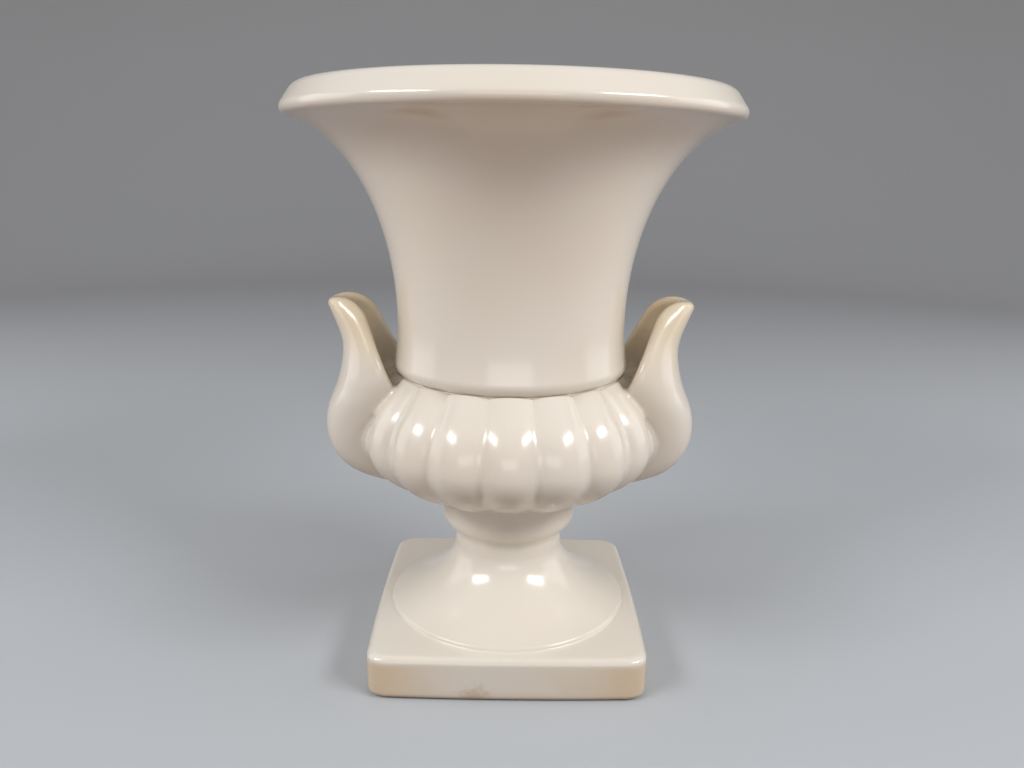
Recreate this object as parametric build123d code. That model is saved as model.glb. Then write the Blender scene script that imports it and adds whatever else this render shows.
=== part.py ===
from build123d import *
import math
import os

# A small pottery urn vase: a flared campana neck over a gadrooned bowl, on a turned pedestal and a
# square plinth, with two cupped leaf handles. Six cast sections, luted together and glazed over.
# Millimetres, +Z up. The origin is the middle of the base, and the front faces -Y.

# Plinth
plinth_width = 100.4  # across the middle of two opposite sides
plinth_bow = 1.1  # how far each side swells past its corners
plinth_height = 16.2
plinth_corner_radius = 5.6
plinth_top_round = 2.4
plinth_foot_round = 2.5
foot_ring_width = 9.0  # the ring that the vase stands on
plinth_deck = 7.0  # clay left above the hollow
hollow_corner_radius = 6.0

# Pedestal
foot_radius = 45.2
foot_edge_height = 1.8
foot_edge_round = 1.4
foot_sweep_height = 21.6
foot_toe_run = 9.4  # the outer part of the sweep, which slopes only a little
foot_toe_rise = 2.7
foot_heel_drop = 9.0  # how far the sweep keeps to the waist
waist_radius = 20.4
waist_length = 3.2
collar_swell_height = 9.2
collar_radius = 25.5
collar_band_height = 9.2
pedestal_wall = 5.0
collar_wall = 6.0
spigot_radius = 38.0  # the round tongue that drops into the plinth
spigot_wall = 5.0
bore_taper_height = 8.0

# Bowl
lobe_count = 18
bowl_swell = 12.0  # from the crease out to the crowns of the lobes
groove_depth_belly = 2.3
groove_depth_seat = 1.7
groove_depth_crease = 1.3
belly_depth = 23.4  # half height of the ellipse under the belly
belly_band = 3.2  # plumb stretch above that ellipse
shoulder_round = 20.5  # turn from the belly into the shoulder's slope
shoulder_slope = 51.5  # degrees from level, straight up to the crease
crease_step = 0.6  # how far the crease lies under the neck's root
bowl_wall = 6.5
boss_length = 6.0
under_sections = 6
turn_sections = 3

# Neck
neck_waist_radius = 41.5
neck_root_swell = 2.9  # how far the root spreads past the waist
neck_root_height = 18.5
neck_root_round = 4.0
neck_wall = 5.5
flare_height = 71.0
flare_reach = 41.0
rim_radius = 80.7  # where the flare and the band would meet, before that edge is rounded
rim_band_height = 9.6
rim_band_inset = 6.5
rim_edge_round = 2.5
rim_top_round = 5.0
rim_top_width = 4.0
tenon_length = 5.0
tenon_wall = 2.8

# Handles
handle_height = 52.8  # top of the leaf above the belly
section_overshoot = 3.2  # how far the topmost section stands above the leaf
handle_wall = 5.0
cup_floor = 21.0  # floor of the cup above the belly
cup_floor_round = 4.0
lip_inset = 4.5  # from the bowl's radius in to where the lip starts to turn
lip_slope = 67.0  # degrees from level
lip_turn_radius = 11.0
lip_turn_over = 50.0  # degrees past level at the tip
lip_round = 1.9
# Elliptical sections, first round the root and then up the leaf: rise above the belly, middle past the
# bowl's radius, tilt in degrees, half depth and half width. They grow with the handle's height.
root_sections = [
    (-11.0, -19.8, 90.0, 5.6, 7.0),
    (-8.2, -7.8, 55.0, 10.2, 10.4),
    (-2.5, -3.3, 28.0, 14.1, 12.9),
    (4.0, -2.2, 8.0, 15.7, 15.0),
]
leaf_sections = [
    (10.0, -3.0, 0.0, 15.8, 17.2),
    (15.0, -5.0, 0.0, 16.2, 19.2),
    (21.0, -8.0, 0.0, 16.7, 21.2),
    (27.0, -10.0, 0.0, 17.0, 22.0),
    (33.0, -10.0, 0.0, 16.1, 20.8),
    (39.0, -7.7, 0.0, 14.5, 18.0),
    (45.0, -4.1, 0.0, 13.2, 14.8),
    (50.0, -0.5, 0.0, 11.9, 11.4),
    (56.0, 2.5, 0.0, 9.5, 8.0),
]

# Slip in the luted joints
fit_clearance = 0.2

# How close in height two edges count as level
level_tolerance = 0.01

# Radii and heights worked out from the sizes above
neck_root_radius = neck_waist_radius + neck_root_swell
crease_radius = neck_root_radius - crease_step
bowl_radius = crease_radius + bowl_swell
boss_radius = collar_radius - collar_wall
mouth_radius = neck_waist_radius - neck_wall + tenon_wall
deck_underside = plinth_height - plinth_deck
foot_edge_top = plinth_height + foot_edge_height
waist_low = foot_edge_top + foot_sweep_height
waist_high = waist_low + waist_length
collar_low = waist_high + collar_swell_height
bowl_seat = collar_low + collar_band_height
belly_height = bowl_seat + belly_depth * math.sqrt(1 - (collar_radius / bowl_radius) ** 2)
shoulder_low = belly_height + belly_band
shoulder_turn = math.radians(90 - shoulder_slope)
slope_radius = bowl_radius - shoulder_round * (1 - math.cos(shoulder_turn))
slope_low = shoulder_low + shoulder_round * math.sin(shoulder_turn)
crease_height = slope_low + (slope_radius - crease_radius) / math.tan(shoulder_turn)
neck_waist_height = crease_height + neck_root_height
section_scale = (handle_height + section_overshoot) / leaf_sections[-1][0]


def ellipse_angle(radius, reach):
    """Angle on an ellipse about the axis, from its outer end, where it passes a given radius."""
    return math.degrees(math.acos(radius / reach))


def turned(outline):
    """A solid of revolution from lines drawn in the XZ plane."""
    return revolve(make_face(Plane.XZ * outline), Axis.Z)


def ogee(low_radius, low, high_radius, high):
    """An upright S curve between two radii, plumb at both ends."""
    middle = (low + high) / 2
    return Bezier((low_radius, low), (low_radius, middle), (high_radius, middle), (high_radius, high))


def ring_edges(solid, height):
    """The round edges of a turned solid that lie at one height, the smallest first."""
    rings = solid.edges().filter_by(GeomType.CIRCLE)
    rings = rings.filter_by(lambda ring: abs(ring.center().Z - height) < level_tolerance)
    return rings.sort_by(lambda ring: ring.radius)


def bowed_square(width, corner_radius):
    """A square with gently swelling sides and rounded corners."""
    half = width / 2
    corner = half - plinth_bow
    corners = [(corner, corner), (-corner, corner), (-corner, -corner), (corner, -corner)]
    middles = [(0, half), (-half, 0), (0, -half), (half, 0)]
    sides = Curve()
    for index, middle in enumerate(middles):
        sides += ThreePointArc(corners[index], middle, corners[(index + 1) % 4])
    square = make_face(sides)
    return fillet(square.vertices(), corner_radius)


def make_plinth():
    """Square base, hollow beneath, with a round socket for the pedestal."""
    block = extrude(bowed_square(plinth_width, plinth_corner_radius), plinth_height)
    block = fillet(block.faces().sort_by(Axis.Z)[-1].edges(), plinth_top_round)
    block = fillet(block.faces().sort_by(Axis.Z)[0].edges(), plinth_foot_round)
    hollow_width = plinth_width - 2 * foot_ring_width
    hollow = extrude(bowed_square(hollow_width, hollow_corner_radius), deck_underside)
    socket = Pos(Z=deck_underside) * extrude(Circle(spigot_radius + fit_clearance), plinth_deck)
    return block - hollow - socket


def make_pedestal():
    """Turned foot, waist and collar, hollow all the way up."""
    bore_radius = waist_radius - pedestal_wall
    spigot_bore = spigot_radius - spigot_wall
    bore_reach = spigot_bore - bore_radius
    bore_drop = waist_low - plinth_height
    ledge = bowl_seat - boss_length - fit_clearance
    socket_radius = boss_radius + fit_clearance
    bore_high = ledge - bore_taper_height
    edge_low = foot_edge_top - foot_edge_round
    outline = Polyline(
        (spigot_bore, plinth_height),
        (spigot_bore, deck_underside),
        (spigot_radius, deck_underside),
        (spigot_radius, plinth_height),
        (foot_radius, plinth_height),
        (foot_radius, edge_low),
    )
    toe_slope = math.degrees(math.atan2(foot_toe_rise, foot_toe_run))
    edge = CenterArc((foot_radius - foot_edge_round, edge_low), foot_edge_round, 0, 90 - toe_slope)
    outline += edge
    outline += Bezier(
        edge @ 1,
        edge @ 1 + (-foot_toe_run, foot_toe_rise),
        (waist_radius, waist_low - foot_heel_drop),
        (waist_radius, waist_low),
    )
    outline += Line((waist_radius, waist_low), (waist_radius, waist_high))
    outline += ogee(waist_radius, waist_high, collar_radius, collar_low)
    outline += Polyline(
        (collar_radius, collar_low),
        (collar_radius, bowl_seat),
        (socket_radius, bowl_seat),
        (socket_radius, ledge),
        (bore_radius, bore_high),
        (bore_radius, waist_low),
    )
    outline += EllipticalCenterArc((spigot_bore, waist_low), bore_reach, bore_drop, 180, arc_size=90)
    return turned(outline)


def lobed_section(radius, depth, height):
    """A level slice of the bowl: one round arc for each lobe, the first at the front, meeting in grooves."""
    half_step = 180 / lobe_count
    valley = radius - depth
    arcs = []
    for lobe in range(lobe_count):
        middle = 2 * half_step * lobe - 90
        start = Vector(valley, 0).rotate(Axis.Z, middle - half_step)
        crown = Vector(radius, 0).rotate(Axis.Z, middle)
        end = Vector(valley, 0).rotate(Axis.Z, middle + half_step)
        arcs.append(ThreePointArc(start, crown, end))
    return Pos(Z=height) * make_face(arcs)


def groove_depth(height):
    """Depth of the grooves at a height: most round the belly, less towards the seat and the crease."""
    if height < belly_height:
        fade = (belly_height - height) / (belly_height - bowl_seat)
        return groove_depth_belly + (groove_depth_seat - groove_depth_belly) * fade ** 2
    fade = (height - belly_height) / (crease_height - belly_height)
    return groove_depth_belly + (groove_depth_crease - groove_depth_belly) * fade ** 2


def make_bowl_outside():
    """The gadrooned body as one solid, with lobes that fade towards the seat and the crease."""
    seat_angle = ellipse_angle(collar_radius, bowl_radius)
    under = EllipticalCenterArc((0, belly_height), bowl_radius, belly_depth, -seat_angle, arc_size=seat_angle)
    turn_centre = (bowl_radius - shoulder_round, shoulder_low)
    turn = CenterArc(turn_centre, shoulder_round, 0, 90 - shoulder_slope)
    slope = Line((slope_radius, slope_low), (crease_radius, crease_height))
    places = [under @ (step / under_sections) for step in range(under_sections + 1)]
    places += [turn @ (step / turn_sections) for step in range(turn_sections + 1)]
    places += [slope @ 0.5, slope @ 1]
    return loft([lobed_section(place.X, groove_depth(place.Y), place.Y) for place in places])


def make_bowl(outside):
    """The lobed bowl with its round inside, its mouth for the neck and its boss for the pedestal."""
    inside_radius = bowl_radius - bowl_wall
    inside_depth = belly_depth - bowl_wall
    mouth_angle = ellipse_angle(mouth_radius, inside_radius)
    mouth_drop = tenon_length + fit_clearance
    mouth_low = crease_height - mouth_drop
    inside_rise = (mouth_low - belly_height) / math.sin(math.radians(mouth_angle))
    centre = (0, belly_height)
    outline = EllipticalCenterArc(centre, inside_radius, inside_depth, 270, arc_size=90)
    outline += EllipticalCenterArc(centre, inside_radius, inside_rise, 0, arc_size=mouth_angle)
    outline += Polyline(
        (mouth_radius, mouth_low),
        (mouth_radius, crease_height),
        (0, crease_height),
        (0, belly_height - inside_depth),
    )
    boss = Pos(Z=bowl_seat - boss_length) * extrude(Circle(boss_radius), boss_length)
    return outside + boss - turned(outline)


def make_neck():
    """The flared neck with its bevelled rim and the tenon that drops into the bowl."""
    inside_radius = neck_waist_radius - neck_wall
    tenon_radius = mouth_radius - fit_clearance
    rim_angle = math.degrees(math.acos(1 - (rim_radius - neck_waist_radius) / flare_reach))
    rim_low = neck_waist_height + flare_height * math.sin(math.radians(rim_angle))
    rim_top = rim_low + rim_band_height
    band_top_radius = rim_radius - rim_band_inset
    inner_top_radius = band_top_radius - rim_top_width
    outline = Polyline(
        (inside_radius, neck_waist_height),
        (inside_radius, crease_height - tenon_length),
        (tenon_radius, crease_height - tenon_length),
        (tenon_radius, crease_height),
        (neck_root_radius, crease_height),
    )
    waist = (neck_waist_radius, neck_waist_height)
    outline += TangentArc(waist, (neck_root_radius, crease_height), tangent=(0, -1))
    flare_centre = (neck_waist_radius + flare_reach, neck_waist_height)
    outline += EllipticalCenterArc(flare_centre, flare_reach, flare_height, 180, arc_size=-rim_angle)
    outline += Polyline((rim_radius, rim_low), (band_top_radius, rim_top), (inner_top_radius, rim_top))
    inside_height = rim_top - neck_waist_height
    inside_centre = (inner_top_radius, neck_waist_height)
    inside_reach = inner_top_radius - inside_radius
    outline += EllipticalCenterArc(inside_centre, inside_reach, inside_height, 180, arc_size=-90)
    neck = turned(outline)
    neck = fillet(ring_edges(neck, rim_low)[-1], rim_edge_round)
    neck = fillet(ring_edges(neck, crease_height)[-1], neck_root_round)
    return fillet(ring_edges(neck, rim_top)[-1], rim_top_round)


def handle_body(sections, shrink):
    """A loft through elliptical sections set out from the bowl's belly, all drawn in by the same amount."""
    slices = []
    for rise, middle, tilt, half_depth, half_width in sections:
        place = Pos(bowl_radius + middle * section_scale, 0, belly_height + rise * section_scale) * Rot(Y=tilt)
        depth = half_depth * section_scale - shrink
        width = half_width * section_scale - shrink
        slices.append(place * Ellipse(depth, width, rotation=180))
    return loft(slices)


def lip_cutter():
    """What is cut off the horn: all that lies inside and above the leaf's lip, seen from the front."""
    slope = math.radians(lip_slope)
    over = math.radians(lip_turn_over)
    top = belly_height + handle_height
    turn_start = bowl_radius - lip_inset
    turn_low = top - lip_turn_radius * (1 - math.cos(slope))
    turn_end = turn_start + lip_turn_radius * (math.sin(slope) + math.sin(over))
    turn_out = top - lip_turn_radius * (1 - math.cos(over))
    line_low = turn_start - (turn_low - belly_height) / math.tan(slope)
    far = bowl_radius + rim_radius
    outline = Line((line_low, belly_height), (turn_start, turn_low))
    outline += TangentArc(
        (turn_start, turn_low),
        (turn_end, turn_out),
        tangent=(math.cos(slope), math.sin(slope)),
    )
    outline += Polyline(
        (turn_end, turn_out),
        (far, turn_out),
        (far, top + far),
        (0, top + far),
        (0, belly_height),
        (line_low, belly_height),
    )
    return extrude(make_face(Plane.XZ * outline), bowl_radius, both=True)


def make_handle(bowl_outside):
    """A leaf cupped towards the neck: a lofted horn, hollowed, cut along its lip and fitted to the bowl."""
    horn = handle_body(root_sections + leaf_sections, 0)
    cup = handle_body(leaf_sections, handle_wall)
    cup = split(cup, Plane.XY.offset(belly_height + cup_floor), keep=Keep.TOP)
    cup = fillet(cup.faces().sort_by(Axis.Z)[0].edges(), cup_floor_round)
    leaf = horn - cup - lip_cutter()
    lip_faces = leaf.faces().filter_by(GeomType.PLANE) + leaf.faces().filter_by(GeomType.CYLINDER)
    edges = ShapeList(edge for face in lip_faces for edge in face.edges() if face.center().Z > belly_height)
    borders = [edge for edge in edges if edges.count(edge) == 1]
    leaf = fillet(borders, lip_round)
    return leaf - bowl_outside


os.makedirs("parts", exist_ok=True)
bowl_outside = make_bowl_outside()
handle = make_handle(bowl_outside)
export_step(make_plinth(), "parts/plinth.step")
export_step(make_pedestal(), "parts/pedestal.step")
export_step(make_bowl(bowl_outside), "parts/bowl.step")
export_step(make_neck(), "parts/neck.step")
export_step(handle, "parts/handle_right.step")
export_step(mirror(handle, Plane.YZ), "parts/handle_left.step")
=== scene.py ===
import math

import bmesh
import bpy
from bpy.props import FloatProperty, FloatVectorProperty, IntProperty, PointerProperty
from mathutils import Matrix, Vector
from mathutils.bvhtree import BVHTree
from mathutils.geometry import interpolate_bezier, intersect_line_line


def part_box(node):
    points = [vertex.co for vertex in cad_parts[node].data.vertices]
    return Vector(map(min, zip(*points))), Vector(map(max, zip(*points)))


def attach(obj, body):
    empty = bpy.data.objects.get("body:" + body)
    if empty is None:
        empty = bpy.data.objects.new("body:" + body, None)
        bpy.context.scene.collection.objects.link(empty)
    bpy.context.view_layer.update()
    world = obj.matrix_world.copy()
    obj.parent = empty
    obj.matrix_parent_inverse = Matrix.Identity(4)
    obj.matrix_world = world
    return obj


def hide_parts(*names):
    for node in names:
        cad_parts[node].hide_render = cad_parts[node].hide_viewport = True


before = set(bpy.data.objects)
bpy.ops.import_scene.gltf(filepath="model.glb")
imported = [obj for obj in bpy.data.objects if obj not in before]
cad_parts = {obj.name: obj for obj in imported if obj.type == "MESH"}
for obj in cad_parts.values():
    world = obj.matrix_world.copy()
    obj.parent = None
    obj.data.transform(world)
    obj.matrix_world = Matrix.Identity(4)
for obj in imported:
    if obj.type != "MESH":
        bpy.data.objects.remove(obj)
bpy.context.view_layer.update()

bl_info = {
    "name": "Urn Vase",
    "version": (1, 0, 0),
    "blender": (4, 5, 0),
    "location": "View3D > Sidebar > Urn",
    "description": "Builds a glazed campana urn vase with a gadrooned bowl and cupped leaf handles",
    "category": "Object",
}

MM = 0.001
BODY = "root"
MERGE_DISTANCE = 0.005 * MM
ROUND_PASSES = 12

# Steps round the axis
PLINTH_STEPS = 384
PEDESTAL_STEPS = 288
NECK_STEPS = 320
LOBE_STEPS = 24
FLOOR_STEPS = 96

# Edges that turn more than this are shaded sharp
SHARP_ANGLE = math.radians(50)

# How strongly a lobe's points crowd towards its grooves
GROOVE_CROWDING = 1.5

# Degrees at which the round of a lobe's top end stops, just past its highest point
CROWN_END = 95

# A point this close to the bowl belongs to a handle's foot
CONTACT = 0.1 * MM

# How far from the bowl glaze is looked for, in radii of its fillet
FILLET_REACH = 3

# A point is on a side when its normal leans from the other skin's by at least this sine
LEAST_SIDE = 0.3

# Noise that counts as the thickest and as the thinnest glaze
CLOUD_RANGE = (0.2, 0.8)

# Share of the cells without a speck, share of a speck that is full, and depth of its pinhole in ripples
SPECKLESS = 0.88
SPECK_CORE = 0.4
PINHOLE = 0.5

# Noise cells in a metre
STAIN_SCALE = 55.0
WORN_SCALE = 420.0
FLOOR_SCALE = 3.0

# Where the stain on a side fades out, from the start of the round of its upper edge
STAIN_TOP = (-1.5 * MM, 0.8 * MM)

# Heights between which the stain on the lower edge fades out
EDGE_STAIN = (1 * MM, 6 * MM)

# Raggedness of the worn spot, and where it fades out, in worn sizes
WORN_RAGGED = 1.3
WORN_FADE = (0.75, 1.6)

plinth_low, plinth_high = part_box("plinth")
pedestal_low, pedestal_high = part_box("pedestal")
bowl_low, bowl_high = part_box("bowl")
neck_low, neck_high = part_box("neck")


def length(name, description, default):
    """A size in metres that the panel shows with its unit."""
    return FloatProperty(
        name=name, description=description, default=default, min=0, precision=5, unit="LENGTH"
    )


def power(name, description, default):
    """A lamp's power in watts."""
    return FloatProperty(name=name, description=description, default=default, min=0, unit="POWER")


def angle(name, description, degrees):
    """An angle that the panel shows in degrees."""
    return FloatProperty(name=name, description=description, default=math.radians(degrees), subtype="ANGLE")


def share(name, description, default):
    """A value between nothing and all."""
    return FloatProperty(name=name, description=description, default=default, min=0, max=1, subtype="FACTOR")


def colour(name, description, default):
    """A linear colour with a swatch."""
    return FloatVectorProperty(
        name=name, description=description, default=default, size=3, min=0, max=1, subtype="COLOR"
    )


def place(name, description, default):
    """A place in the vase's own frame."""
    return FloatVectorProperty(
        name=name, description=description, default=default, size=3, precision=5, subtype="TRANSLATION"
    )


class PlinthSizes(bpy.types.PropertyGroup):
    """Sizes of the square base."""

    width: length("Width", "Across the middle of two sides", plinth_high.x - plinth_low.x)
    height: length("Height", "From the foot ring to the top", plinth_high.z)
    bow: length("Bow", "How far a side swells past its corners", 1.1 * MM)
    corner_radius: length("Corner radius", "Round of the upright corners", 5.6 * MM)
    top_round: length("Top round", "Round of the upper edge", 2.4 * MM)
    foot_round: length("Foot round", "Round of the lower edge", 2.5 * MM)
    ring_width: length("Ring width", "Width of the ring that it stands on", 9 * MM)
    deck: length("Deck", "Clay above the hollow underside", 7 * MM)
    socket_radius: length("Socket radius", "Round hole for the pedestal", 38.2 * MM)


class PedestalSizes(bpy.types.PropertyGroup):
    """Sizes of the turned foot, waist and collar."""

    foot_radius: length("Foot radius", "Radius of the round foot", pedestal_high.x)
    edge_height: length("Edge height", "Upright edge of the foot", 1.8 * MM)
    edge_round: length("Edge round", "Round of the foot's edge", 1.1 * MM)
    foot_fillet: length("Foot fillet", "Glaze run in where the foot meets the plinth", 0.7 * MM)
    sweep_height: length("Sweep height", "From the foot's edge up to the waist", 21.6 * MM)
    toe_run: length("Toe run", "How far the foot stays low", 9.4 * MM)
    toe_rise: length("Toe rise", "How far it climbs in that run", 2.7 * MM)
    heel_drop: length("Heel drop", "How far the sweep keeps to the waist", 9 * MM)
    waist_radius: length("Waist radius", "Radius at the waist", 20.4 * MM)
    waist_length: length("Waist length", "Plumb part of the waist", 3.2 * MM)
    swell_height: length("Swell height", "From the waist out to the collar", 9.2 * MM)
    collar_radius: length("Collar radius", "Radius of the collar under the bowl", 25.5 * MM)
    collar_round: length("Collar round", "Round of the collar's upper edge", 0.8 * MM)
    wall: length("Wall", "Wall round the bore", 5 * MM)
    spigot_radius: length("Spigot radius", "Tongue that drops into the plinth", 38 * MM)


class BowlSizes(bpy.types.PropertyGroup):
    """Sizes of the gadrooned bowl."""

    lobes: IntProperty(name="Lobes", description="Number of lobes round the bowl", default=18, min=3)
    radius: length("Radius", "Over the crowns of the lobes", 55.8 * MM)
    belly_depth: length("Belly depth", "Half height of the ellipse under the belly", 25.1 * MM)
    shoulder_round: length("Shoulder round", "Turn from the belly into the slope", 22.8 * MM)
    shoulder_slope: angle("Shoulder slope", "Slope up to the crease, from level", 47)
    crease_radius: length("Crease radius", "Over the crowns at the end of their slope", 42.8 * MM)
    crease_drop: length("Crease drop", "From the neck's lower edge down to the end of that slope", 0.95 * MM)
    crown_round: length("Crown round", "Round of a lobe's top end", 1.2 * MM)
    crown_rise: length("Crown rise", "How far a lobe's top end arches over its grooves", 1.0 * MM)
    crown_reach: length("Crown reach", "Height over which that arch builds up", 20 * MM)
    groove_seat: length("Groove at the seat", "Groove depth at the collar, before its fillet", 2.0 * MM)
    groove_belly: length("Groove at the belly", "Groove depth at the belly, before its fillet", 3.0 * MM)
    groove_crease: length("Groove at the crease", "Groove depth at the crease, before its fillet", 1.2 * MM)
    groove_fillet: length("Groove fillet", "Glaze that rounds the bottom of a groove, at the belly", 3.2 * MM)
    bead_radius: length("Bead radius", "Where the glaze in the crease meets the neck", 40.4 * MM)
    bead_rise: length("Bead rise", "How far that glaze climbs the neck", 0.2 * MM)
    bead_low: length("Bead low", "From the neck out to the lower guide point of its curve", 0.7 * MM)
    bead_high: length("Bead high", "From the neck out to the upper guide point of its curve", 0.3 * MM)
    bead_lift: length("Bead lift", "From the lobes' tops up to that upper point", 0.4 * MM)
    wall: length("Wall", "Wall of the bowl", 6.5 * MM)
    mouth_radius: length("Mouth radius", "Opening inside the crease", 38.8 * MM)
    mouth_drop: length("Mouth drop", "Plumb depth of that opening", 5.2 * MM)
    boss_radius: length("Boss radius", "Round boss that drops into the collar", 19.5 * MM)


class NeckSizes(bpy.types.PropertyGroup):
    """Sizes of the flared neck and its rim."""

    root_radius: length("Root radius", "Radius where the neck meets the bowl", 44.4 * MM)
    root_round: length("Root round", "Round of the lower edge", 4.0 * MM)
    root_height: length("Root height", "From the crease up to the waist", 18.5 * MM)
    waist_radius: length("Waist radius", "Radius at the narrowest place", 41.5 * MM)
    wall: length("Wall", "Wall at the waist", 5.5 * MM)
    flare_height: length("Flare height", "Half height of the flare's ellipse", 71 * MM)
    flare_reach: length("Flare reach", "Half width of the flare's ellipse", 41 * MM)
    rim_radius: length("Rim radius", "Radius at the rim's lower edge, before its round", 80.7 * MM)
    rim_edge_round: length("Rim edge round", "Round of the rim's lower edge", 2.5 * MM)
    band_height: length("Band height", "Height of the sloping rim band", 9.6 * MM)
    band_inset: length("Band inset", "How far the band slopes in", 6.5 * MM)
    top_round: length("Top round", "Round of the rim's outer top edge", 5.0 * MM)
    top_width: length("Top width", "Level part of the rim, before its round", 4.0 * MM)
    tenon_radius: length("Tenon radius", "Tongue that drops into the bowl", 38.6 * MM)


class HandleSizes(bpy.types.PropertyGroup):
    """How the cupped leaf handles are finished."""

    grain: length("Grain", "Size of the mesh that the leaf is remade in", 0.5 * MM)
    softness: IntProperty(name="Softness", description="Smoothing passes over the leaf", default=8, min=0)
    root_depth: length("Root depth", "How far the leaf is set into the bowl", 2.5 * MM)
    foot_fillet: length("Foot fillet", "Glaze run in where the leaf meets the bowl", 1.6 * MM)
    cream_low: length("Cream low", "Height where the ivory starts to turn cream", 106 * MM)
    cream_high: length("Cream high", "Height where the leaf is all cream", 132 * MM)
    cream_waver: length("Cream waver", "How far that change of tone wanders up and down", 12 * MM)
    # The cup's tan is partly thin glaze and partly painted shade on the faces that turn to the neck.
    cup_start: share("Cup start", "How far a face turns to the neck where the cup's tan begins", 0.15)
    cup_full: share("Cup full", "How far a face turns to the neck where the cup's tan is full", 0.75)
    cup_tan_and_shade: share("Cup strength", "How tan the inside of the cup is", 0.3)


class GlazeLook(bpy.types.PropertyGroup):
    """Colours and gloss of the glaze."""

    ivory: colour("Ivory", "Glaze where it lies thick", (0.80, 0.755, 0.675))
    warm: colour("Warm ivory", "Glaze where it lies thin", (0.79, 0.73, 0.635))
    cream: colour("Cream", "Glaze on the tips of the handles", (0.78, 0.68, 0.51))
    # In the cups this tan is partly painted shade as well as thin glaze; on the plinth it is stain.
    tan: colour("Tan", "Thin glaze in the cups and on the plinth's corners", (0.74, 0.61, 0.44))
    brown: colour("Brown", "Clay that shows through the worn foot", (0.56, 0.39, 0.24))
    speck: colour("Speck", "Iron specks and pinholes", (0.30, 0.24, 0.17))
    roughness: share("Roughness", "Softness of the gloss", 0.17)
    gloss_change: share("Gloss change", "How much softer the gloss is where the glaze lies thin", 0.05)
    clear_coat: share("Clear coat", "Glassy top of the glaze", 0.25)
    coat_roughness: share("Coat roughness", "Softness of the gloss on that top", 0.12)
    refraction: FloatProperty(name="Refraction", description="Refractive index", default=1.5, min=1)
    speck_strength: share("Speck strength", "How dark the specks are", 0.55)
    ripple_strength: share("Ripple strength", "How much the ripples of the skin show", 0.1)
    ripple_height: length("Ripple height", "Height of those ripples", 0.05 * MM)
    stain_start: length("Stain start", "From a side's middle to where its stain begins", 12 * MM)
    stain_full: length("Stain full", "From a side's middle to where its stain is full", 46 * MM)
    stain_waver: length("Stain waver", "How far the stain's edge wanders to and fro", 26 * MM)
    edge_stain: share("Edge stain", "How tan the lower edge is between the corners", 0.45)
    worn_strength: share("Worn strength", "How brown the worn spot is", 0.6)
    worn_place: place("Worn place", "Middle of the worn spot on the foot", (-11 * MM, -50 * MM, 1 * MM))
    worn_size: length("Worn size", "Reach of the worn spot", 8 * MM)


class StageLook(bpy.types.PropertyGroup):
    """Floor, lamps and camera."""

    floor: colour("Floor", "Plain floor and backdrop", (0.50, 0.53, 0.56))
    floor_shade: share("Floor shade", "Darkest part of the floor's faint clouds", 0.97)
    floor_roughness: share("Floor roughness", "Dullness of the floor", 0.85)
    # The near bounce is painted shade: a dark floor close to the vase for the light thrown back onto its
    # undersides.
    near_bounce: colour("Near bounce", "Light thrown back up close to the vase", (0.12, 0.08, 0.065))
    far_bounce: colour("Far bounce", "Light thrown back up further off", (0.44, 0.34, 0.29))
    near_radius: length("Near radius", "From the axis to where the near bounce starts to change", 0.1)
    far_radius: length("Far radius", "From the axis to where the far bounce is full", 0.45)
    floor_radius: length("Floor radius", "Flat part of the floor", 1.1)
    cove_radius: length("Cove radius", "Curve from the floor up to the backdrop", 0.5)
    backdrop_height: length("Backdrop height", "Upright part above that curve", 0.7)
    left_power: power("Left power", "Power of the left softbox", 4.3)
    right_power: power("Right power", "Power of the right softbox", 5.2)
    lamp_width: length("Lamp width", "Wide side of a softbox", 0.46)
    lamp_depth: length("Lamp depth", "Narrow side of a softbox", 0.2)
    lamp_distance: length("Lamp distance", "From the vase to a softbox", 1.0)
    lamp_height: angle("Lamp height", "Softboxes above the horizon", 34)
    lamp_left: angle("Left lamp", "Turn of the left softbox from the front", -56)
    lamp_right: angle("Right lamp", "Turn of the right softbox from the front", 58)
    fill_power: power("Fill power", "Power of each side fill", 2.2)
    fill_size: length("Fill size", "Side of a square side fill", 0.7)
    fill_height: angle("Fill height", "Side fills above the horizon", 12)
    fill_turn: angle("Fill turn", "Turn of a side fill from the front", 95)
    front_power: power("Front power", "Power of the front fill", 1.7)
    front_width: length("Front width", "Wide side of the front fill", 0.9)
    front_depth: length("Front depth", "Narrow side of the front fill", 0.3)
    front_height: angle("Front height", "Front fill above the horizon", 7)
    front_distance: length("Front distance", "From the vase to the front fill", 1.2)
    aim_height: length("Aim height", "Height on the axis that every lamp aims at", 0.11)
    sky: FloatProperty(name="Sky", description="Strength of the even light all round", default=0.35, min=0)
    sky_colour: colour("Sky colour", "Colour of the even light all round", (0.95, 0.97, 1.0))
    lens: FloatProperty(name="Lens", description="Focal length", default=29.07, min=1, unit="CAMERA")
    eye: place("Eye", "Where the camera stands", (-0.74 * MM, -301.74 * MM, 179.39 * MM))
    eye_tip: angle("Eye tip", "How far the camera looks down", 14.4271)
    eye_turn: angle("Eye turn", "How far it looks to the right", 0.2693)
    eye_roll: angle("Eye roll", "How far it leans", 0.8251)


class UrnSizes(bpy.types.PropertyGroup):
    """Everything that the panel can change."""

    plinth: PointerProperty(type=PlinthSizes)
    pedestal: PointerProperty(type=PedestalSizes)
    bowl: PointerProperty(type=BowlSizes)
    neck: PointerProperty(type=NeckSizes)
    handles: PointerProperty(type=HandleSizes)
    glaze: PointerProperty(type=GlazeLook)
    stage: PointerProperty(type=StageLook)


# Outlines, as lists of (radius, height)


def arc(centre, reach, rise, start, end, steps):
    """Points on an ellipse between two angles in degrees, from the outer end anticlockwise."""
    points = []
    for step in range(steps + 1):
        turn = math.radians(start + (end - start) * step / steps)
        points.append((centre[0] + reach * math.cos(turn), centre[1] + rise * math.sin(turn)))
    return points


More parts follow.
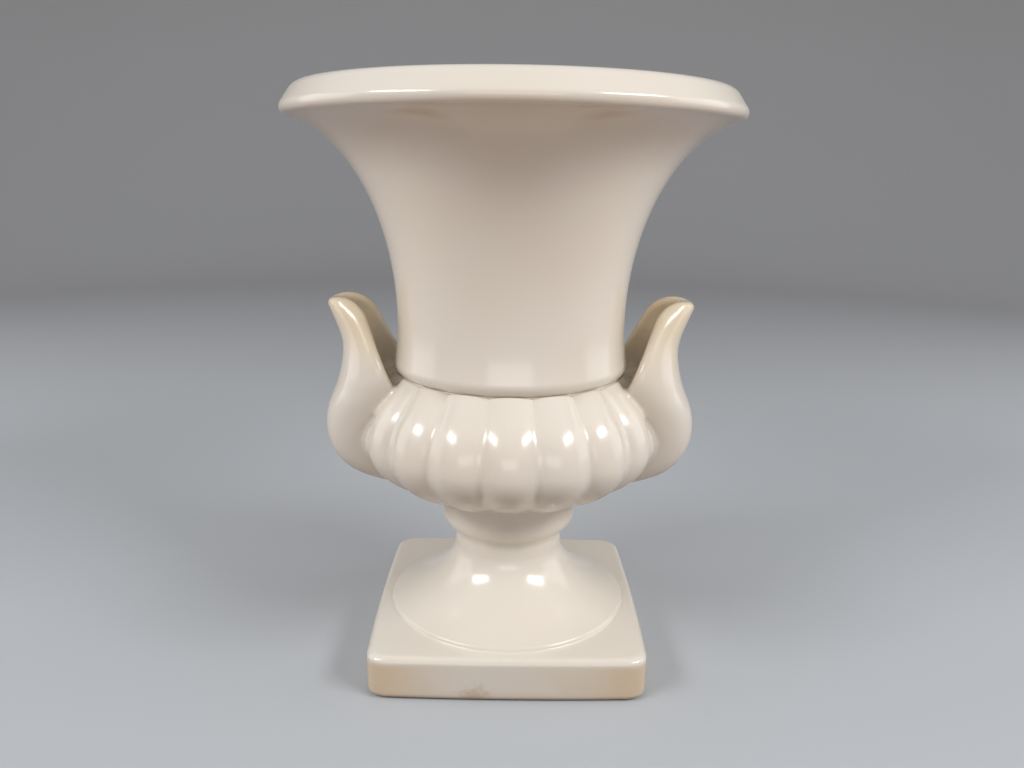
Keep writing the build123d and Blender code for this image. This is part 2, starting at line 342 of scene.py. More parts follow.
def curve(start, first_handle, last_handle, end, steps):
    """Points on a Bezier curve."""
    knots = [Vector(point).to_3d() for point in (start, first_handle, last_handle, end)]
    return [(point.x, point.y) for point in interpolate_bezier(*knots, steps + 1)]


def ogee(low, high, steps):
    """An upright S curve, plumb at both ends."""
    middle = (low[1] + high[1]) / 2
    return curve(low, (low[0], middle), (high[0], middle), high, steps)


def line(start, end, steps):
    """Points along a straight stretch."""
    first, last = Vector(start), Vector(end)
    return [tuple(first.lerp(last, step / steps)) for step in range(steps + 1)]


def along(side, distance):
    """The place at a distance along a side, and the way that the side runs there."""
    for start, end in zip(side, side[1:]):
        step = Vector(end) - Vector(start)
        if distance <= step.length:
            return Vector(start) + step.normalized() * distance, step.normalized()
        distance -= step.length
    raise ValueError("A round is larger than its side")


def beyond(side, distance):
    """The points of a side that lie further along it than a distance."""
    kept = []
    travelled = 0
    for start, end in zip(side, side[1:]):
        travelled += math.dist(start, end)
        if travelled > distance:
            kept.append(end)
    return kept


def rounded(points, corner, radius, steps):
    """The outline with one of its corners turned into an arc that touches both of its sides."""
    nearest = min(range(len(points)), key=lambda index: math.dist(points[index], corner))
    sides = (points[nearest::-1], points[nearest:])
    cuts = [radius, radius]
    for _ in range(ROUND_PASSES):
        first, back = along(sides[0], cuts[0])
        last, ahead = along(sides[1], cuts[1])
        tangents = (first, first + back, last, last + ahead)
        peak = intersect_line_line(*(spot.to_3d() for spot in tangents))[0].to_2d()
        half = back.angle(ahead) / 2
        cut = radius / math.tan(half)
        cuts[0] += cut - (first - peak).dot(back)
        cuts[1] += cut - (last - peak).dot(ahead)
    middle = peak + (back + ahead).normalized() * radius / math.sin(half)
    start = (first - middle).normalized().to_3d()
    end = (last - middle).normalized().to_3d()
    turn = [tuple(middle + start.slerp(end, step / steps).to_2d() * radius) for step in range(steps + 1)]
    return beyond(sides[0], cuts[0])[::-1] + turn + beyond(sides[1], cuts[1])


def smooth_step(value, low, high):
    """A value stretched so that low gives nothing and high gives all, with a soft start and end."""
    amount = min(1, max(0, (value - low) / (high - low)))
    return amount * amount * (3 - 2 * amount)


# Meshes


def turned(outline, steps, groove=None):
    """Spin a closed outline about the upright axis; groove gives each outline point its groove depth."""
    bm = bmesh.new()
    depth = bm.verts.layers.float.new("groove")
    corners = [bm.verts.new((radius, 0, height)) for radius, height in outline]
    for index, corner in enumerate(corners):
        corner[depth] = groove[index] if groove else 0
    rows = [bm.edges.new(pair) for pair in zip(corners, corners[1:])]
    bmesh.ops.spin(
        bm,
        geom=corners + rows,
        cent=(0, 0, 0),
        axis=(0, 0, 1),
        dvec=(0, 0, 0),
        angle=math.tau,
        steps=steps,
        use_merge=True,
        use_duplicate=False,
    )
    close(bm)
    return bm


def close(bm):
    """Weld seams and poles, and turn every face outwards."""
    bmesh.ops.remove_doubles(bm, verts=bm.verts, dist=MERGE_DISTANCE)
    bmesh.ops.recalc_face_normals(bm, faces=bm.faces)


def finished(bm, name, material):
    """Turn a bmesh into a smooth-shaded piece at the origin."""
    mesh = bpy.data.meshes.new(name)
    bm.to_mesh(mesh)
    bm.free()
    mesh.shade_smooth()
    mesh.set_sharp_from_angle(angle=SHARP_ANGLE)
    mesh.materials.append(material)
    piece = bpy.data.objects.new(name, mesh)
    bpy.context.scene.collection.objects.link(piece)
    return piece


def hold(piece, node):
    """Let a piece ride on the vase and stand for its solid."""
    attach(piece, BODY)
    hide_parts(node)


def surface(piece):
    """A piece's skin, for finding the nearest place on it."""
    bm = bmesh.new()
    bm.from_mesh(piece.data)
    skin = BVHTree.FromBMesh(bm)
    bm.free()
    return skin


def run_in(bm, skin, radius, reach):
    """Spread a piece's foot over another piece's skin in a hollow curve, as glaze runs into a joint."""
    bm.normal_update()
    moves = []
    for vert in bm.verts:
        nearest, normal, _, _ = skin.find_nearest(vert.co, reach)
        if nearest is None:
            continue
        height = (vert.co - nearest).dot(normal)
        if height > radius:
            continue
        side = vert.normal - normal * vert.normal.dot(normal)
        if side.length < LEAST_SIDE:
            continue
        rest = radius - max(height, 0)
        spread = radius - math.sqrt(radius ** 2 - rest ** 2)
        moves.append((vert, vert.co + side.normalized() * spread, height))
    for vert, target, height in moves:
        nearest, normal, _, _ = skin.find_nearest(target)
        vert.co = target + normal * (height - (target - nearest).dot(normal))


# Materials


def node_group(name, inputs, outputs):
    """An empty shader node group with its sockets: name, kind and default of each."""
    group = bpy.data.node_groups.new(name, "ShaderNodeTree")
    for label, kind, default in inputs:
        socket = group.interface.new_socket(label, in_out="INPUT", socket_type=kind)
        if default is not None:
            socket.default_value = default
    for label, kind in outputs:
        group.interface.new_socket(label, in_out="OUTPUT", socket_type=kind)
    return group, group.nodes.new("NodeGroupInput"), group.nodes.new("NodeGroupOutput")


def add_node(tree, kind, settings=None, **inputs):
    """A new node with its settings, and its inputs set to values or linked to sockets."""
    node = tree.nodes.new(kind)
    for key, value in (settings or {}).items():
        setattr(node, key, value)
    for key, value in inputs.items():
        numbered = key[0] == "i" and key[1:].isdigit()
        socket = node.inputs[int(key[1:])] if numbered else node.inputs[key.replace("_", " ")]
        if isinstance(value, bpy.types.NodeSocket):
            tree.links.new(value, socket)
        else:
            socket.default_value = value
    return node


def maths(tree, operation, first, second=0.0, third=0.0):
    """The result of one sum."""
    settings = {"operation": operation}
    return add_node(tree, "ShaderNodeMath", settings, i0=first, i1=second, i2=third).outputs[0]


def ramp(tree, value, low, high):
    """A value stretched so that low gives nothing and high gives all, with a soft start and end."""
    settings = {"interpolation_type": "SMOOTHSTEP"}
    return add_node(tree, "ShaderNodeMapRange", settings, Value=value, From_Min=low, From_Max=high).outputs[0]


def blended(tree, amount, first, second):
    """One colour over another; a colour is a socket or three linear values."""
    first, second = (
        value if isinstance(value, bpy.types.NodeSocket) else (*value, 1) for value in (first, second)
    )
    node = add_node(tree, "ShaderNodeMix", {"data_type": "RGBA"}, i0=amount, i6=first, i7=second)
    return node.outputs[2]


def cloudy(tree, spot, scale, detail):
    """Soft noise about one half."""
    noise = add_node(tree, "ShaderNodeTexNoise", Vector=spot, Scale=scale, Detail=detail, Roughness=0.5)
    return noise.outputs[0]


def wavering(tree, distance, noise, reach):
    """A distance that noise moves to and fro within a reach."""
    return maths(tree, "MULTIPLY_ADD", noise, reach, maths(tree, "SUBTRACT", distance, reach / 2))


def faded(tree, value, low, high):
    """All at low and nothing at high, with a soft start and end."""
    return maths(tree, "SUBTRACT", 1.0, ramp(tree, value, low, high))


def fired_glaze_group():
    """What every glazed surface shares: cloudy thickness, a rippled skin, and stray specks."""
    group, given, result = node_group(
        "Fired Glaze",
        [
            ("Place", "NodeSocketVector", None),
            ("Cloud Scale", "NodeSocketFloat", 22.0),
            ("Ripple Scale", "NodeSocketFloat", 240.0),
            ("Speck Scale", "NodeSocketFloat", 60.0),
            ("Speck Size", "NodeSocketFloat", 0.035),
        ],
        [("Cloud", "NodeSocketFloat"), ("Skin", "NodeSocketFloat"), ("Speck", "NodeSocketFloat")],
    )
    spot = given.outputs["Place"]
    cloud = cloudy(group, spot, given.outputs["Cloud Scale"], 1.5)
    ripple = cloudy(group, spot, given.outputs["Ripple Scale"], 1.0)
    cells = add_node(group, "ShaderNodeTexVoronoi", Vector=spot, Scale=given.outputs["Speck Scale"])
    chance = add_node(group, "ShaderNodeSeparateColor", Color=cells.outputs["Color"])
    chosen = maths(group, "GREATER_THAN", chance.outputs["Red"], SPECKLESS)
    near = maths(group, "DIVIDE", cells.outputs["Distance"], given.outputs["Speck Size"])
    dot = faded(group, near, SPECK_CORE, 1.0)
    speck = maths(group, "MULTIPLY", dot, chosen)
    group.links.new(ramp(group, cloud, *CLOUD_RANGE), result.inputs["Cloud"])
    group.links.new(maths(group, "MULTIPLY_ADD", speck, -PINHOLE, ripple), result.inputs["Skin"])
    group.links.new(speck, result.inputs["Speck"])
    return group


def ivory_tone(tree, look, spot, cloud):
    """Ivory that turns a little warmer where the glaze lies thin."""
    return blended(tree, cloud, look.ivory, look.warm)


def stained_tone(tree, look, spot, cloud):
    """Ivory with tan stains that grow towards the corners, and one spot worn brown on the foot."""
    ivory = ivory_tone(tree, look, spot, cloud)
    sizes = bpy.context.scene.urn.plinth
    parts = add_node(tree, "ShaderNodeSeparateXYZ", Vector=spot)
    across, back, height = parts.outputs
    from_middle = maths(tree, "MINIMUM", maths(tree, "ABSOLUTE", across), maths(tree, "ABSOLUTE", back))
    stain_edge = wavering(tree, from_middle, cloudy(tree, spot, STAIN_SCALE, 2.0), look.stain_waver)
    towards_corner = ramp(tree, stain_edge, look.stain_start, look.stain_full)
    side_top = sizes.height - sizes.top_round
    on_side = faded(tree, height, *(side_top + step for step in STAIN_TOP))
    low_edge = faded(tree, height, *EDGE_STAIN)
    thin = maths(tree, "MAXIMUM", towards_corner, maths(tree, "MULTIPLY", low_edge, look.edge_stain))
    stained = blended(tree, maths(tree, "MULTIPLY", thin, on_side), ivory, look.tan)
    away = add_node(tree, "ShaderNodeVectorMath", {"operation": "DISTANCE"}, i0=spot, i1=look.worn_place)
    grain = cloudy(tree, spot, WORN_SCALE, 3.0)
    ragged = maths(tree, "MULTIPLY_ADD", grain, WORN_RAGGED * look.worn_size, away.outputs["Value"])
    worn = faded(tree, ragged, *(step * look.worn_size for step in WORN_FADE))
    return blended(tree, maths(tree, "MULTIPLY", worn, look.worn_strength), stained, look.brown)


def cream_tone(tree, look, spot, cloud):
    """Ivory at the root, cream towards the tip, and tan inside the cup, partly thin glaze and partly painted
    shade.
    """
    sizes = bpy.context.scene.urn.handles
    height = add_node(tree, "ShaderNodeSeparateXYZ", Vector=spot).outputs["Z"]
    level = wavering(tree, height, cloud, sizes.cream_waver)
    towards_tip = ramp(tree, level, sizes.cream_low, sizes.cream_high)
    outside = blended(tree, towards_tip, ivory_tone(tree, look, spot, cloud), look.cream)
    # Painted shade inside the cup: faces turned to the neck are made partly tan, for thin glaze and for
    # shade.
    cup = add_node(tree, "ShaderNodeAttribute", {"attribute_name": "cup"}).outputs["Fac"]
    return blended(tree, maths(tree, "MULTIPLY", cup, sizes.cup_tan_and_shade), outside, look.tan)


def glaze_material(name, tone):
    """A glaze of one tone, with sparse specks, an even gloss and a faintly rippled skin; made once."""
    if name in bpy.data.materials:
        return bpy.data.materials[name]
    look = bpy.context.scene.urn.glaze
    material = bpy.data.materials.new(name)
    material.use_nodes = True
    tree = material.node_tree
    shader = tree.nodes["Principled BSDF"]
    spot = add_node(tree, "ShaderNodeTexCoord").outputs["Object"]
    group = bpy.data.node_groups.get("Fired Glaze") or fired_glaze_group()
    glaze = add_node(tree, "ShaderNodeGroup", {"node_tree": group}, Place=spot)
    base = tone(tree, look, spot, glaze.outputs["Cloud"])
    specks = maths(tree, "MULTIPLY", glaze.outputs["Speck"], look.speck_strength)
    tree.links.new(blended(tree, specks, base, look.speck), shader.inputs["Base Color"])
    gloss = maths(tree, "MULTIPLY_ADD", glaze.outputs["Cloud"], look.gloss_change, look.roughness)
    tree.links.new(gloss, shader.inputs["Roughness"])
    ripples = {"Strength": look.ripple_strength, "Distance": look.ripple_height}
    bump = add_node(tree, "ShaderNodeBump", Height=glaze.outputs["Skin"], **ripples)
    tree.links.new(bump.outputs["Normal"], shader.inputs["Normal"])
    shader.inputs["Coat Weight"].default_value = look.clear_coat
    shader.inputs["Coat Roughness"].default_value = look.coat_roughness
    shader.inputs["IOR"].default_value = look.refraction
    return material


# Operators


class URN_OT_plinth(bpy.types.Operator):
    """Build the square plinth with its swelling sides and hollow underside"""

    bl_idname = "urn.plinth"
    bl_label = "Plinth"

    def execute(self, context):
        sizes = context.scene.urn.plinth
        half = sizes.width / 2
        top = sizes.height
        deck = top - sizes.deck
        inner = half - sizes.ring_width
        top_middle = (half - sizes.top_round, top - sizes.top_round)
        foot_middle = (half - sizes.foot_round, sizes.foot_round)
        outline = [(sizes.socket_radius, deck), (sizes.socket_radius, top)]
        outline += line((sizes.socket_radius, top), (half - sizes.top_round, top), 6)
        outline += arc(top_middle, sizes.top_round, sizes.top_round, 90, 0, 12)
        outline += line((half, top - sizes.top_round), (half, sizes.foot_round), 6)
        outline += arc(foot_middle, sizes.foot_round, sizes.foot_round, 0, -90, 10)
        outline += line((half - sizes.foot_round, 0), (inner, 0), 4)
        outline += line((inner, 0), (inner, deck), 4)
        outline += line((inner, deck), (sizes.socket_radius, deck), 4)
        bm = turned(outline, PLINTH_STEPS)
        for vert in bm.verts:
            self.square_up(vert, sizes, inner)
        close(bm)
        piece = finished(bm, "square_plinth", glaze_material("stained glaze", stained_tone))
        hold(piece, "plinth")
        return {"FINISHED"}

    def square_up(self, vert, sizes, inner):
        """Move a turned point out to the bowed square: not at the socket, in full from the hollow's side."""
        half = sizes.width / 2
        radius = vert.co.xy.length
        turn = math.atan2(vert.co.y, vert.co.x)
        quarter = abs((turn + math.pi / 4) % (math.pi / 2) - math.pi / 4)
        amount = min(1, (radius - sizes.socket_radius) / (inner - sizes.socket_radius))
        scale = 1 + amount * (self.side(quarter, half, sizes) / half - 1)
        vert.co.x *= scale
        vert.co.y *= scale

    def side(self, turn, half, sizes):
        """Distance from the middle to the bowed and round-cornered side, at a turn from the side's middle."""
        corner = half - sizes.bow
        centre = corner - sizes.corner_radius
        slope = math.tan(turn)
        straight = half - sizes.bow * slope ** 2
        if straight * slope < centre:
            return straight / math.cos(turn)
        towards = Vector((math.cos(turn), math.sin(turn)))
        middle = Vector((centre, centre))
        ahead = towards.dot(middle)
        aside = middle.length_squared - ahead ** 2
        return ahead + math.sqrt(max(sizes.corner_radius ** 2 - aside, 0))


class URN_OT_pedestal(bpy.types.Operator):
    """Turn the pedestal: low foot, waist and collar, hollow inside"""

    bl_idname = "urn.pedestal"
    bl_label = "Pedestal"

    def execute(self, context):
        sizes = context.scene.urn.pedestal
        base = plinth_high.z
        seat = pedestal_high.z
        edge_top = base + sizes.edge_height
        edge_low = edge_top - sizes.edge_round
        waist_low = edge_top + sizes.sweep_height
        waist_high = waist_low + sizes.waist_length
        collar_low = waist_high + sizes.swell_height
        bore = sizes.waist_radius - sizes.wall
        spigot_bore = sizes.spigot_radius - sizes.wall
        toe_slope = math.degrees(math.atan2(sizes.toe_rise, sizes.toe_run))
        run_out = (sizes.foot_radius + sizes.foot_fillet, base + sizes.foot_fillet)
        edge_middle = (sizes.foot_radius - sizes.edge_round, edge_low)
        edge = arc(edge_middle, sizes.edge_round, sizes.edge_round, 0, 90 - toe_slope, 12)
        toe = (edge[-1][0] - sizes.toe_run, edge[-1][1] + sizes.toe_rise)
        waist = (sizes.waist_radius, waist_low)
        collar = (sizes.collar_radius, seat)
        outline = [(spigot_bore, pedestal_low.z), (sizes.spigot_radius, pedestal_low.z)]
        outline += [(sizes.spigot_radius, base)]
        outline += arc(run_out, sizes.foot_fillet, sizes.foot_fillet, 270, 180, 8)
        outline += edge
        outline += curve(edge[-1], toe, (sizes.waist_radius, waist_low - sizes.heel_drop), waist, 64)
        outline += line(waist, (sizes.waist_radius, waist_high), 3)
        outline += ogee((sizes.waist_radius, waist_high), (sizes.collar_radius, collar_low), 32)
        outline += line((sizes.collar_radius, collar_low), collar, 6)
        outline += [(bore, seat), (bore, waist_low)]
        outline += arc((spigot_bore, waist_low), spigot_bore - bore, waist_low - base, 180, 270, 24)
        outline += [(spigot_bore, pedestal_low.z)]
        bm = turned(rounded(outline, collar, sizes.collar_round, 6), PEDESTAL_STEPS)
        piece = finished(bm, "turned_pedestal", glaze_material("ivory glaze", ivory_tone))
        hold(piece, "pedestal")
        return {"FINISHED"}


class URN_OT_neck(bpy.types.Operator):
    """Turn the flared neck with its bevelled rim"""

    bl_idname = "urn.neck"
    bl_label = "Neck"

    def execute(self, context):
        sizes = context.scene.urn.neck
        crease = bowl_high.z
        waist_height = crease + sizes.root_height
        inside = sizes.waist_radius - sizes.wall
        rim_turn = math.acos(1 - (sizes.rim_radius - sizes.waist_radius) / sizes.flare_reach)
        rim_low = (sizes.rim_radius, waist_height + sizes.flare_height * math.sin(rim_turn))
        rim_top = rim_low[1] + sizes.band_height
        band_top = (sizes.rim_radius - sizes.band_inset, rim_top)
        inner_top = (band_top[0] - sizes.top_width, rim_top)
        swell = sizes.root_radius - sizes.waist_radius
        sweep = (sizes.root_height ** 2 + swell ** 2) / (2 * swell)
        root_turn = math.degrees(math.asin(sizes.root_height / sweep))
        root = (sizes.root_radius, crease)
        outline = [(inside, neck_low.z), (sizes.tenon_radius, neck_low.z), (sizes.tenon_radius, crease), root]
        outline += arc((sizes.waist_radius + sweep, waist_height), sweep, sweep, 180 + root_turn, 180, 48)
        flare_middle = (sizes.waist_radius + sizes.flare_reach, waist_height)
        rim_end = 180 - math.degrees(rim_turn)
        outline += arc(flare_middle, sizes.flare_reach, sizes.flare_height, 180, rim_end, 96)
        outline += line(rim_low, band_top, 8)
        outline += [inner_top]
        reach = inner_top[0] - inside
        outline += arc((inner_top[0], waist_height), reach, rim_top - waist_height, 90, 180, 72)
        outline += [(inside, neck_low.z)]
        outline = rounded(outline, root, sizes.root_round, 16)
        outline = rounded(outline, rim_low, sizes.rim_edge_round, 16)
        outline = rounded(outline, band_top, sizes.top_round, 12)
        bm = turned(outline, NECK_STEPS)
        piece = finished(bm, "flared_neck", glaze_material("ivory glaze", ivory_tone))
        hold(piece, "neck")
        return {"FINISHED"}


class URN_OT_bowl(bpy.types.Operator):
    """Model the gadrooned bowl: lobes with soft grooves, and top ends that arch up to the neck"""

    bl_idname = "urn.bowl"
    bl_label = "Bowl"

    def execute(self, context):
        sizes = context.scene.urn.bowl
        seat = pedestal_high.z
        collar = context.scene.urn.pedestal.collar_radius
        seat_turn = math.acos(collar / sizes.radius)
        belly = seat + sizes.belly_depth * math.sin(seat_turn)
        turn = sizes.shoulder_round
        lean = 90 - math.degrees(sizes.shoulder_slope)
        crease = Vector((sizes.crease_radius, bowl_high.z - sizes.crease_drop))
        outwards = Vector((math.sin(sizes.shoulder_slope), math.cos(sizes.shoulder_slope)))
        crown_middle = crease - outwards * sizes.crown_round
        skin = arc((0, belly), sizes.radius, sizes.belly_depth, -math.degrees(seat_turn), 0, 44)
        skin += arc((sizes.radius - turn, belly), turn, turn, 0, lean, 32)[1:]
        skin += line(skin[-1], crease, 16)[1:]
        skin += arc(crown_middle, sizes.crown_round, sizes.crown_round, lean, CROWN_END, 10)[1:]
        boss = [(0, bowl_low.z), (sizes.boss_radius, bowl_low.z), (sizes.boss_radius, seat)]
        lining = self.bead(sizes, skin[-1]) + self.lining(sizes, belly)
        depths = [self.groove_depth(height, sizes, seat, belly) for _, height in skin]
        grooves = [0] * len(boss) + depths + [0] * len(lining)
        bm = turned(boss + skin + lining, sizes.lobes * LOBE_STEPS, grooves)
        layer = bm.verts.layers.float["groove"]
        for vert in bm.verts:
            self.carve(vert, vert[layer], sizes)
        bmesh.ops.recalc_face_normals(bm, faces=bm.faces)
        piece = finished(bm, "gadrooned_bowl", glaze_material("ivory glaze", ivory_tone))
        hold(piece, "bowl")
        return {"FINISHED"}

    def bead(self, sizes, crown):
        """The glaze in the crease, from the lobes' tops to the neck: straight, then a hollow curve."""
        end = (sizes.bead_radius, bowl_high.z + sizes.bead_rise)
        low = (sizes.bead_radius + sizes.bead_low, crown[1])
        high = (sizes.bead_radius + sizes.bead_high, crown[1] + sizes.bead_lift)
        return curve(crown, low, high, end, 8)[4:]

    def lining(self, sizes, belly):
        """The round inside, from the mouth down to the middle of the floor."""
        inside = sizes.radius - sizes.wall
        depth = sizes.belly_depth - sizes.wall
        mouth_low = bowl_high.z - sizes.mouth_drop
        mouth_turn = math.acos(sizes.mouth_radius / inside)
        rise = (mouth_low - belly) / math.sin(mouth_turn)
        points = [(sizes.mouth_radius, bowl_high.z)]
        points += arc((0, belly), inside, rise, math.degrees(mouth_turn), 0, 16)
        points += arc((0, belly), inside, depth, 0, -90, 32)[1:]
        return points

    def groove_depth(self, height, sizes, seat, belly):
        """Depth of the grooves at a height: most round the belly, less towards the seat and the crease."""
        end, depth = (seat, sizes.groove_seat) if height < belly else (bowl_high.z, sizes.groove_crease)
        fade = min(1, (height - belly) / (end - belly)) ** 2
        return sizes.groove_belly + (depth - sizes.groove_belly) * fade

    def carve(self, vert, depth, sizes):
        """Gather points towards the grooves, and draw each one in to its lobe's round section."""
        half = math.pi / sizes.lobes
        turn = math.atan2(vert.co.y, vert.co.x) + math.pi / 2
        lobe = round(turn / (2 * half))
        aside = turn - lobe * 2 * half
        from_groove = max(0, 1 - abs(aside) / half) ** GROOVE_CROWDING
        aside = math.copysign(half * (1 - from_groove), aside)
        radius = vert.co.xy.length
        if depth > 0:
            near_top = smooth_step(vert.co.z, bowl_high.z - sizes.crown_reach, bowl_high.z)
            arch = 1 - (1 - from_groove) ** 2
            vert.co.z += sizes.crown_rise * near_top * arch
            radius = self.lobe_section(radius, depth, abs(aside), half, sizes)
        turn = lobe * 2 * half + aside - math.pi / 2
        vert.co.x = radius * math.cos(turn)
        vert.co.y = radius * math.sin(turn)

    def lobe_section(self, radius, depth, aside, half, sizes):
        """Distance from the axis to a lobe, or to the glaze in its groove, at a turn from its middle."""
        valley = radius - depth
        sag = radius - valley * math.cos(half)
        lobe = ((valley * math.sin(half)) ** 2 + sag ** 2) / (2 * sag)
        middle = radius - lobe
        fillet = sizes.groove_fillet * depth / sizes.groove_belly
        reach = lobe + fillet
        fillet_middle = middle * math.cos(half) + math.sqrt(reach ** 2 - (middle * math.sin(half)) ** 2)
        lean = math.asin(fillet_middle * math.sin(half) / reach)
        touch = math.atan2(lobe * math.sin(lean), middle + lobe * math.cos(lean))
        if aside < touch:
            return middle * math.cos(aside) + math.sqrt(lobe ** 2 - (middle * math.sin(aside)) ** 2)
        inside = (fillet_middle * math.sin(half - aside)) ** 2
        return fillet_middle * math.cos(half - aside) - math.sqrt(max(fillet ** 2 - inside, 0))


class URN_OT_handles(bpy.types.Operator):
    """Glaze the two cupped leaf handles and run their feet into the bowl"""

    bl_idname = "urn.handles"
    bl_label = "Handles"

    def execute(self, context):
        sizes = context.scene.urn.handles
        material = glaze_material("cream glaze", cream_tone)
        bowl_solid = surface(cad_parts["bowl"])
        bowl_skin = surface(bpy.data.objects["gadrooned_bowl"])
        for node, name in (("handle_left", "leaf_handle_left"), ("handle_right", "leaf_handle_right")):
            bm = self.softened_leaf(context, node, sizes, bowl_solid)
            run_in(bm, bowl_skin, sizes.foot_fillet, FILLET_REACH * sizes.foot_fillet)
            self.mark_cup_tan_and_shade(bm, sizes)
            piece = finished(bm, name, material)
            hold(piece, node)
        return {"FINISHED"}

    def softened_leaf(self, context, node, sizes, bowl_solid):
        """A copy of the leaf, set deeper into the bowl, remade in an even mesh and smoothed."""
        bm = bmesh.new()
        bm.from_mesh(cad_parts[node].data)
        bmesh.ops.remove_doubles(bm, verts=bm.verts, dist=MERGE_DISTANCE)
        for vert in bm.verts:
            _, normal, _, distance = bowl_solid.find_nearest(vert.co)
            if distance < CONTACT:
                vert.co -= normal * sizes.root_depth
        mesh = bpy.data.meshes.new("leaf")
        bm.to_mesh(mesh)
        bm.free()
        leaf = bpy.data.objects.new("leaf", mesh)
        context.scene.collection.objects.link(leaf)
        remesh = leaf.modifiers.new("Clay", "REMESH")
        remesh.mode = "VOXEL"
        remesh.voxel_size = sizes.grain
        smooth = leaf.modifiers.new("Glaze", "SMOOTH")
        smooth.factor = 0.5
        smooth.iterations = sizes.softness
        context.view_layer.update()
        shaped = leaf.evaluated_get(context.evaluated_depsgraph_get())
        bm = bmesh.new()
        bm.from_mesh(shaped.data)
        bpy.data.objects.remove(leaf)
        bpy.data.meshes.remove(mesh)
        return bm

    def mark_cup_tan_and_shade(self, bm, sizes):
        """Note how far each point faces the neck, for the tan inside the cup: partly thin glaze, partly
        painted shade where the cup faces in.
        """
        bm.normal_update()
        layer = bm.verts.layers.float.new("cup")
        for vert in bm.verts:
            outwards = vert.co.xy.normalized()
            inwards = -vert.normal.xy.dot(outwards)
            vert[layer] = smooth_step(inwards, sizes.cup_start, sizes.cup_full)


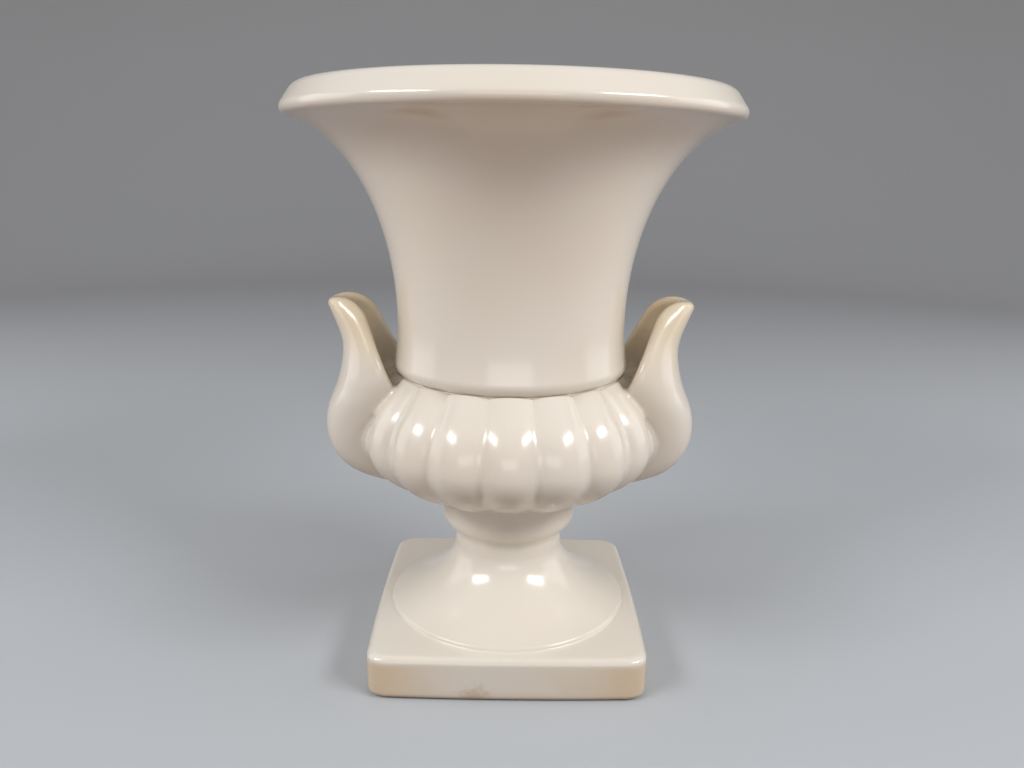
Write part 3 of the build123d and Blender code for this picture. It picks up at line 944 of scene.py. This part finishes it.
class URN_OT_stage(bpy.types.Operator):
    """Set the pale floor, the softboxes and fills, even light all round and the camera"""

    bl_idname = "urn.stage"
    bl_label = "Stage"

    def execute(self, context):
        look = context.scene.urn.stage
        self.floor(look)
        softbox = (look.lamp_width, look.lamp_depth, look.lamp_height)
        fill = (look.fill_size, look.fill_size, look.fill_height)
        front = (look.front_width, look.front_depth, look.front_height)
        lamps = (
            ("left_softbox", look.lamp_left, look.left_power, look.lamp_distance, softbox),
            ("right_softbox", look.lamp_right, look.right_power, look.lamp_distance, softbox),
            ("left_fill", -look.fill_turn, look.fill_power, look.lamp_distance, fill),
            ("right_fill", look.fill_turn, look.fill_power, look.lamp_distance, fill),
            ("front_fill", 0, look.front_power, look.front_distance, front),
        )
        for name, turn, watts, distance, sizes in lamps:
            self.lamp(context, name, turn, watts, distance, *sizes)
        self.sky(context, look)
        self.camera(context, look)
        context.scene.view_settings.view_transform = "Standard"
        return {"FINISHED"}

    def floor(self, look):
        """A round floor that curves up into a backdrop on every side."""
        material = bpy.data.materials.new("studio floor")
        material.use_nodes = True
        tree = material.node_tree
        shader = tree.nodes["Principled BSDF"]
        spot = add_node(tree, "ShaderNodeTexCoord").outputs["Object"]
        rays = add_node(tree, "ShaderNodeLightPath").outputs
        seen = maths(tree, "MAXIMUM", rays["Is Camera Ray"], rays["Is Glossy Ray"])
        shade = tuple(look.floor_shade * channel for channel in look.floor)
        shown = blended(tree, cloudy(tree, spot, FLOOR_SCALE, 2.0), shade, look.floor)
        # Painted shade: for the light that the floor throws back it is dark close to the vase, which shades
        # the vase's undersides, and warm brown further off; camera and glossy rays see the plain pale floor.
        away = add_node(tree, "ShaderNodeVectorMath", {"operation": "LENGTH"}, i0=spot).outputs["Value"]
        distance = ramp(tree, away, look.near_radius, look.far_radius)
        bounce = blended(tree, distance, look.near_bounce, look.far_bounce)
        tree.links.new(blended(tree, seen, bounce, shown), shader.inputs["Base Color"])
        shader.inputs["Roughness"].default_value = look.floor_roughness
        middle = (look.floor_radius, look.cove_radius)
        outline = line((0, 0), (look.floor_radius, 0), 8)
        outline += arc(middle, look.cove_radius, look.cove_radius, -90, 0, 16)
        edge = outline[-1]
        outline += [(edge[0], edge[1] + look.backdrop_height)]
        bm = turned(outline, FLOOR_STEPS)
        bmesh.ops.reverse_faces(bm, faces=bm.faces)
        floor = finished(bm, "studio_floor", material)

    def lamp(self, context, name, turn, watts, distance, width, depth, height):
        """One area lamp, aimed at the middle of the vase."""
        lamp = bpy.data.lights.new(name, "AREA")
        lamp.shape = "RECTANGLE"
        lamp.size = width
        lamp.size_y = depth
        lamp.energy = watts
        target = Vector((0, 0, context.scene.urn.stage.aim_height))
        level = math.cos(height)
        way = Vector((math.sin(turn) * level, -math.cos(turn) * level, math.sin(height)))
        box = bpy.data.objects.new(name, lamp)
        box.matrix_world = way.to_track_quat("Z", "Y").to_matrix().to_4x4()
        box.location = target + way * distance
        context.scene.collection.objects.link(box)

    def sky(self, context, look):
        """Even pale light from all sides."""
        world = bpy.data.worlds.new("studio sky")
        world.use_nodes = True
        background = world.node_tree.nodes["Background"]
        background.inputs["Color"].default_value = (*look.sky_colour, 1)
        background.inputs["Strength"].default_value = look.sky
        context.scene.world = world

    def camera(self, context, look):
        """A camera close in front of the vase and a little above its handles, tipped down."""
        camera = bpy.data.cameras.new("camera")
        camera.sensor_width = 36
        camera.lens = look.lens
        camera.clip_start = 0.01
        camera.clip_end = 20
        eye = bpy.data.objects.new("camera", camera)
        tipped = Matrix.Rotation(math.pi / 2 - look.eye_tip, 4, "X")
        turned_right = Matrix.Rotation(-look.eye_turn, 4, "Z")
        rolled = Matrix.Rotation(look.eye_roll, 4, "Z")
        eye.matrix_world = turned_right @ tipped @ rolled
        eye.location = look.eye
        context.scene.collection.objects.link(eye)
        context.scene.camera = eye


class URN_PT_panel(bpy.types.Panel):
    """Lists the vase's sizes and builds its pieces"""

    bl_idname = "URN_PT_panel"
    bl_label = "Urn vase"
    bl_space_type = "VIEW_3D"
    bl_region_type = "UI"
    bl_category = "Urn"

    def draw(self, context):
        urn = context.scene.urn
        for operator in OPERATORS:
            self.layout.operator(operator.bl_idname)
        for group in urn.bl_rna.properties:
            if group.type != "POINTER" or group.identifier == "rna_type":
                continue
            box = self.layout.box()
            box.label(text=group.name or group.identifier)
            values = getattr(urn, group.identifier)
            for value in values.bl_rna.properties:
                if value.identifier not in ("rna_type", "name"):
                    box.prop(values, value.identifier)


# The handles come after the bowl, because they run into it
OPERATORS = (
    URN_OT_plinth,
    URN_OT_pedestal,
    URN_OT_neck,
    URN_OT_bowl,
    URN_OT_handles,
    URN_OT_stage,
)
CLASSES = (
    PlinthSizes,
    PedestalSizes,
    BowlSizes,
    NeckSizes,
    HandleSizes,
    GlazeLook,
    StageLook,
    UrnSizes,
    *OPERATORS,
    URN_PT_panel,
)


def register():
    for item in CLASSES:
        bpy.utils.register_class(item)
    bpy.types.Scene.urn = PointerProperty(type=UrnSizes)


def unregister():
    del bpy.types.Scene.urn
    for item in reversed(CLASSES):
        bpy.utils.unregister_class(item)


def main():
    register()
    bpy.ops.urn.plinth()
    bpy.ops.urn.pedestal()
    bpy.ops.urn.neck()
    bpy.ops.urn.bowl()
    bpy.ops.urn.handles()
    bpy.ops.urn.stage()


if __name__ == "__main__":
    main()
